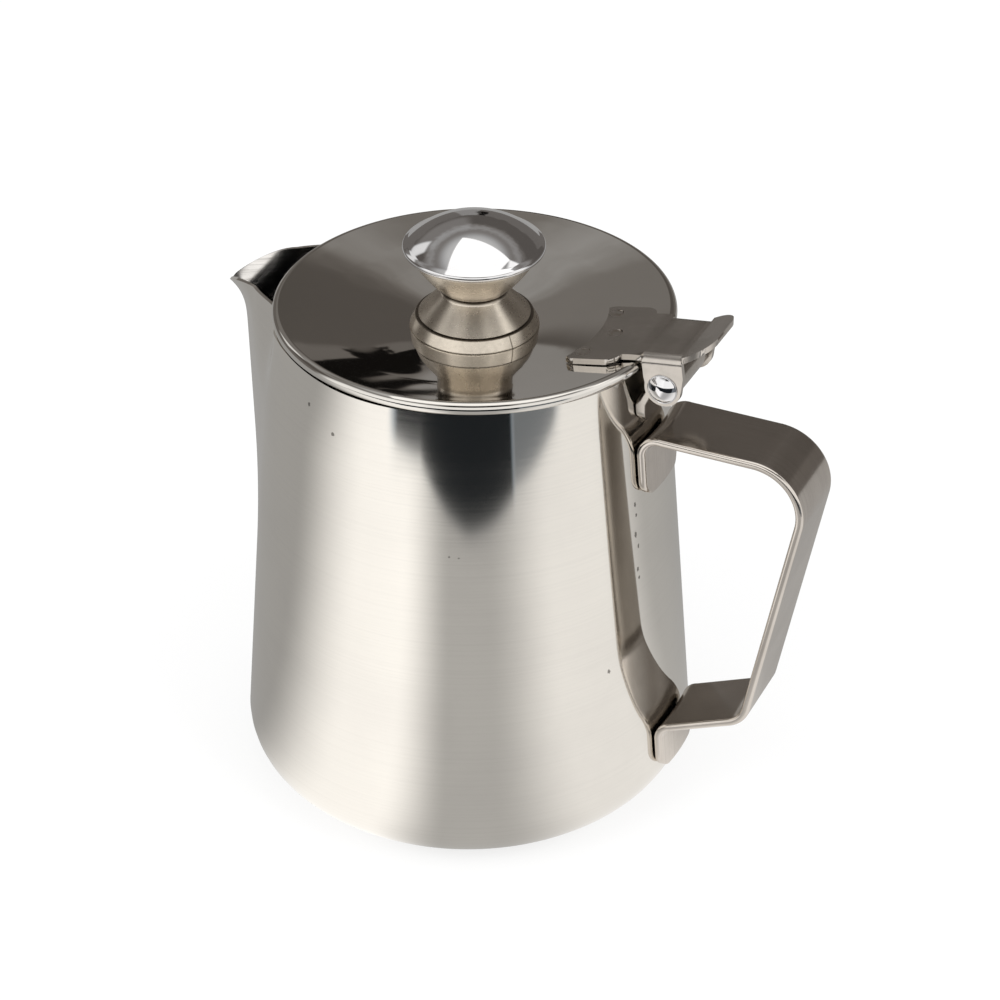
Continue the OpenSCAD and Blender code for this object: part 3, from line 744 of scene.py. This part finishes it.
def make_knob():
    """The knob: foot ring, collar, cup and domed cap, all turned."""
    foot = rounded([
        (FLANGE_R, FLANGE_Z, 0.1), (FLANGE_R, FLANGE_Z + 0.3, 0.15), (FLANGE_TOP_R, FLANGE_TOP, 0.3),
        (SCREW_HOLE, FLANGE_TOP, 0), (SCREW_HOLE, FLANGE_TOP - FLANGE_T, 0),
        (FLANGE_TOP_R - FLANGE_WALL, FLANGE_TOP - FLANGE_T, 0), (FLANGE_R - FLANGE_WALL, FLANGE_Z, 0),
    ])
    finish_piece("knob_foot_ring", turned(foot, LID_X), TURNED, ["knob_flange"], "lid")
    collar = rounded([
        (COLLAR_R, COLLAR_Z, 0.2), (COLLAR_TOP_R + 0.35, COLLAR_TOP - 1.25, 0.8),
        (COLLAR_TOP_R, COLLAR_TOP, 0), (SCREW_HOLE, COLLAR_TOP, 0), (SCREW_HOLE, COLLAR_TOP - COLLAR_T, 0),
        (COLLAR_TOP_R - 1.0, COLLAR_TOP - COLLAR_T, 0), (COLLAR_R - 1.6, COLLAR_Z, 0),
    ])
    finish_piece("knob_collar_cone", turned(collar, LID_X), TURNED, ["knob_collar"], "lid")
    outer = cup_line((CUP_R, CUP_Z + 0.45), (CUP_LIP_R, CUP_LIP_Z))
    inner = cup_line((CUP_R - CUP_WALL, CUP_Z + CUP_FLOOR), (CUP_LIP_R - CUP_WALL, CUP_LIP_Z))
    foot_edge = arc(CUP_R - CUP_EDGE, CUP_Z + CUP_EDGE, CUP_EDGE, -90, -10, 4)
    cup = [(CUP_HOLE, CUP_Z)] + foot_edge + outer + inner[::-1] + [(CUP_HOLE, CUP_Z + CUP_FLOOR)]
    finish_piece("knob_cup_bowl", turned(cup, LID_X), TURNED, ["knob_cup"], "lid")
    rise = CAP_TOP - CAP_EDGE
    reach = KNOB_R - CAP_EDGE
    sphere = (reach ** 2 + rise ** 2) / (2 * rise)
    top_z = KNOB_Z + CAP_TOP
    lean = math.degrees(math.asin(reach / sphere))
    outer = arc(0, top_z - sphere, sphere, 90, 90 - lean, 28)
    roll = arc(reach, KNOB_Z, CAP_EDGE, 90 - lean, -150, 20)
    inner = arc(0, top_z - sphere, sphere - CAP_T, 90 - lean * 0.985, 90, 20)
    cap = turned(outer + roll + inner, LID_X, closed=False)
    finish_piece("knob_dome", cap, DOME, ["knob_cap"], "lid")


# ---------------------------------------------------------------- hinge

def make_pin():
    """The hinge pin with its two domed heads."""
    dome_r = (HEAD_R ** 2 + HEAD_H ** 2) / (2 * HEAD_H)
    lean = math.degrees(math.asin((HEAD_R - 0.15) / dome_r))
    top = NECK_W / 2 + HEAD_H
    head = arc(0, top - dome_r, dome_r, 90, 90 - lean, 14)
    side = head + [(HEAD_R, NECK_W / 2 + 0.25), (HEAD_R, NECK_W / 2), (PIN_R, NECK_W / 2)]
    outline = side + [(r, -z) for r, z in reversed(side)]
    mesh = turned(outline, closed=False, steps=64)
    mesh.transform(Matrix.Translation((PIN_X, 0, PIN_Z)) @ Matrix.Rotation(math.pi / 2, 4, "X"))
    finish_piece("hinge_pin_domed", mesh, DOME, ["hinge_pin"], "lid")


def make_hinge():
    """The two sheets of the hinge, drawn from their CAD nodes with softer edges."""
    lever = soft_copy("thumb_lever", LEVER_EDGE)
    finish_piece("thumb_lever_sheet", lever, LEVER, ["thumb_lever"], "lid")
    leaf = soft_copy("hinge_leaf", LEAF_EDGE)
    finish_piece("hinge_leaf_sheet", leaf, LEVER, ["hinge_leaf"], "jug")


def dress_node(node, material):
    """Gives a CAD node that stays its material."""
    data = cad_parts[node].data
    data.materials.clear()
    data.materials.append(material)


# ---------------------------------------------------------------- studio

CAMERA_AZ = math.radians(26.0)
CAMERA_EL = math.radians(34.06)
CAMERA_ROLL = math.radians(-0.5)
CAMERA_DISTANCE = 720 * MM
CAMERA_TARGET = Vector((0, 0, 60 * MM))
FOCAL_PX = 2906.39
CENTRE_PX = (468.06, 543.99)
FRAME_PX = 1000


def make_camera():
    data = bpy.data.cameras.new("camera")
    data.sensor_width = 36.0
    data.lens = FOCAL_PX / FRAME_PX * data.sensor_width
    data.shift_x = 0.5 - CENTRE_PX[0] / FRAME_PX
    data.shift_y = CENTRE_PX[1] / FRAME_PX - 0.5
    back = Vector((
        math.sin(CAMERA_AZ) * math.cos(CAMERA_EL),
        -math.cos(CAMERA_AZ) * math.cos(CAMERA_EL),
        math.sin(CAMERA_EL),
    ))
    camera = bpy.data.objects.new("camera", data)
    camera.location = CAMERA_TARGET + back * CAMERA_DISTANCE
    aim = (-back).to_track_quat("-Z", "Y").to_matrix().to_4x4()
    camera.rotation_euler = (aim @ Matrix.Rotation(CAMERA_ROLL, 4, "Z")).to_euler()
    bpy.context.scene.collection.objects.link(camera)
    bpy.context.scene.camera = camera


def light_level(azimuth):
    """How bright the low surroundings are, by the angle from the front (-y) towards +x in degrees."""
    left = azimuth.ramp(-70.0, -26.0) * azimuth.ramp(-6.0, 18.0, 1.0, 0.0)
    right = azimuth.ramp(34.0, 68.0) * azimuth.ramp(92.0, 126.0, 1.0, 0.0)
    floor_glow = azimuth.ramp(-40.0, 10.0) * azimuth.ramp(110.0, 175.0, 1.0, 0.0)
    return 0.37 + floor_glow * 0.1 + left * 0.72 + right * 0.45


def make_world():
    """White to the eye; metal sees soft lamps at the sides and above, and a dim room behind."""
    world = bpy.data.worlds.new("studio")
    world.use_nodes = True
    bpy.context.scene.world = world
    f = Finish(world.node_tree)
    ray = f.node("ShaderNodeTexCoord", output="Generated")
    azimuth = f.azimuth(ray)
    x, y, z = f.axes(ray)
    height = z.math("ARCSINE") * (180 / math.pi)
    # the side towards the camera: a glow, and a dark slit high up in it
    front = azimuth.window(-62.0, 115.0, 8.0) * height.window(-90.0, 42.0, 8.0)
    slit = azimuth.window(4.0, 50.0, 5.0) * height.window(38.0, 62.0, 3.0)
    # a soft box straight above, cut off along its near side
    up = z.math("MAXIMUM", 0.05)
    across, along = x / up, y / up
    near = (along - across * 0.4).ramp(-0.425, -0.40)
    box = across.window(-0.40, 0.56, 0.012) * along.ramp(0.40, 0.425, 1.0, 0.0) * near
    lamps = azimuth.window(-113.0, -98.0, 2.0) * height.window(20.0, 38.0, 2.0) * 0.6
    lamps = lamps + azimuth.window(104.0, 126.0, 2.0) * height.window(40.0, 56.0, 2.0) * 0.9
    # the room behind: dim and brownish, paler high up, with a dark shape low on the left
    uneven = f.noise(ray, 14.0, 3.0) - 0.5
    tall = height + uneven * 9.0
    wide = azimuth + uneven * 7.0
    room = 0.10 + tall.ramp(36.0, 47.0) * 0.17 - tall.ramp(47.0, 52.0) * 0.07 + height.ramp(52.0, 66.0) * 0.32
    room = room + azimuth.window(-151.0, -100.0, 4.0) * height.window(22.0, 46.0, 5.0) * 0.1
    low = tall.ramp(17.0, 20.0, 1.0, 0.0)
    shape = wide.window(-159.8, -156.0, 0.25) * tall.window(5.0, 18.5, 0.8)
    card = azimuth.window(-156.0, -148.5, 0.4)
    room = room + low * (0.05 + card * 0.12)
    room = room * (1 - shape * 0.96)
    glow = light_level(azimuth).math("MAXIMUM", height.ramp(-7.0, 1.0) * 1.05)
    level = glow * front + room * (1 - front) + lamps
    level = level * (1 - slit) * (1 - box) + slit * 0.02 + box * 1.25
    tint = f.blend(level.ramp(0.0, 0.4), (1.0, 0.88, 0.78), (1.0, 0.985, 0.96))
    seen = f.node("ShaderNodeBackground", {}, {"Color": (1, 1, 1, 1), "Strength": 1.0})
    mirrored = f.node("ShaderNodeBackground", {}, {"Color": tint, "Strength": level})
    is_glossy = f.node("ShaderNodeLightPath", output="Is Glossy Ray")
    both = f.node("ShaderNodeMixShader", {}, {0: is_glossy, 1: seen, 2: mirrored})
    f.node("ShaderNodeOutputWorld", {}, {"Surface": both})


# front edges of the white paper: the angle each one faces and its distance from the jug's axis
PAPER_EDGES = ((39, 255.5), (25, 262.5), (44, 293))
PAPER_SOFT = 0.003
# the angle at which what lies beyond the paper turns from dark to grey
DARK_END = (47.5, 50.5)


def make_floor():
    """The white paper under the jug, with a dark front edge that only metal sees."""
    mesh = bmesh.new()
    bmesh.ops.create_grid(mesh, x_segments=8, y_segments=8, size=3.0)
    bmesh.ops.translate(mesh, verts=mesh.verts, vec=(0, 0, -0.0002))
    data = bpy.data.meshes.new("floor")
    mesh.to_mesh(data)
    mesh.free()
    floor = bpy.data.objects.new("floor", data)
    bpy.context.scene.collection.objects.link(floor)
    f = new_finish("paper")
    spot = f.place()
    azimuth = f.azimuth(spot)
    x, y, _ = f.axes(spot)
    edges = []
    for turn, distance in PAPER_EDGES:
        ahead = x * math.sin(math.radians(turn)) - y * math.cos(math.radians(turn))
        edges.append(ahead.ramp(distance * MM - PAPER_SOFT, distance * MM + PAPER_SOFT))
    far_left = y.ramp(-0.324, -0.314, 1.0, 0.0) * azimuth.ramp(-16.0, -9.0)
    dark = (edges[0] * edges[1]).math("MAXIMUM", far_left) * azimuth.ramp(*DARK_END, 1.0, 0.0)
    grey = edges[2] * azimuth.ramp(*DARK_END) * azimuth.ramp(70.0, 78.0, 1.0, 0.0)
    level = light_level(azimuth) * (1 - dark) * (1 - grey) + dark * 0.016 + grey * 0.2
    tint = f.blend(dark + grey * 0.5, (1.0, 0.98, 0.95), (0.72, 0.86, 1.0))
    paper = f.node("ShaderNodeBsdfDiffuse", {}, {"Color": (0.9, 0.9, 0.9, 1)})
    seen = f.node("ShaderNodeEmission", {}, {"Color": (1, 1, 1, 1), "Strength": 1.0})
    shadowed = f.node("ShaderNodeMixShader", {}, {0: 0.72, 1: paper, 2: seen})
    mirrored = f.node("ShaderNodeEmission", {}, {"Color": tint, "Strength": level})
    is_camera = f.node("ShaderNodeLightPath", output="Is Camera Ray")
    is_glossy = f.node("ShaderNodeLightPath", output="Is Glossy Ray")
    plain = f.node("ShaderNodeMixShader", {}, {0: is_camera, 1: paper, 2: shadowed})
    both = f.node("ShaderNodeMixShader", {}, {0: is_glossy, 1: plain, 2: mirrored})
    f.node("ShaderNodeOutputMaterial", {}, {"Surface": both})
    data.materials.append(f.material)


def make_lamp(name, azimuth, height, distance, size, watts):
    """A soft square lamp aimed at the jug, at an angle from the front towards +x and a height, in degrees."""
    data = bpy.data.lights.new(name, "AREA")
    data.shape = "SQUARE"
    data.size = size
    data.energy = watts
    lamp = bpy.data.objects.new(name, data)
    a, e = math.radians(azimuth), math.radians(height)
    away = Vector((math.sin(a) * math.cos(e), -math.cos(a) * math.cos(e), math.sin(e)))
    lamp.location = CAMERA_TARGET + away * distance
    lamp.rotation_euler = (-away).to_track_quat("-Z", "Y").to_euler()
    lamp.visible_camera = False
    lamp.visible_glossy = False
    bpy.context.scene.collection.objects.link(lamp)


make_camera()
make_jug_wall()
make_handle()
make_lid()
make_knob()
make_pin()
make_hinge()
dress_node("wall_welds", WELD)
dress_node("lever_welds", WELD)
dress_node("knob_screw", SCREW)
dress_node("knob_washer", SCREW)
make_world()
make_floor()
make_lamp("left lamp", -24, 35, 1.2, 0.7, 6)
make_lamp("right lamp", 76, 35, 1.2, 0.7, 6)
bpy.context.scene.view_settings.view_transform = "Standard"
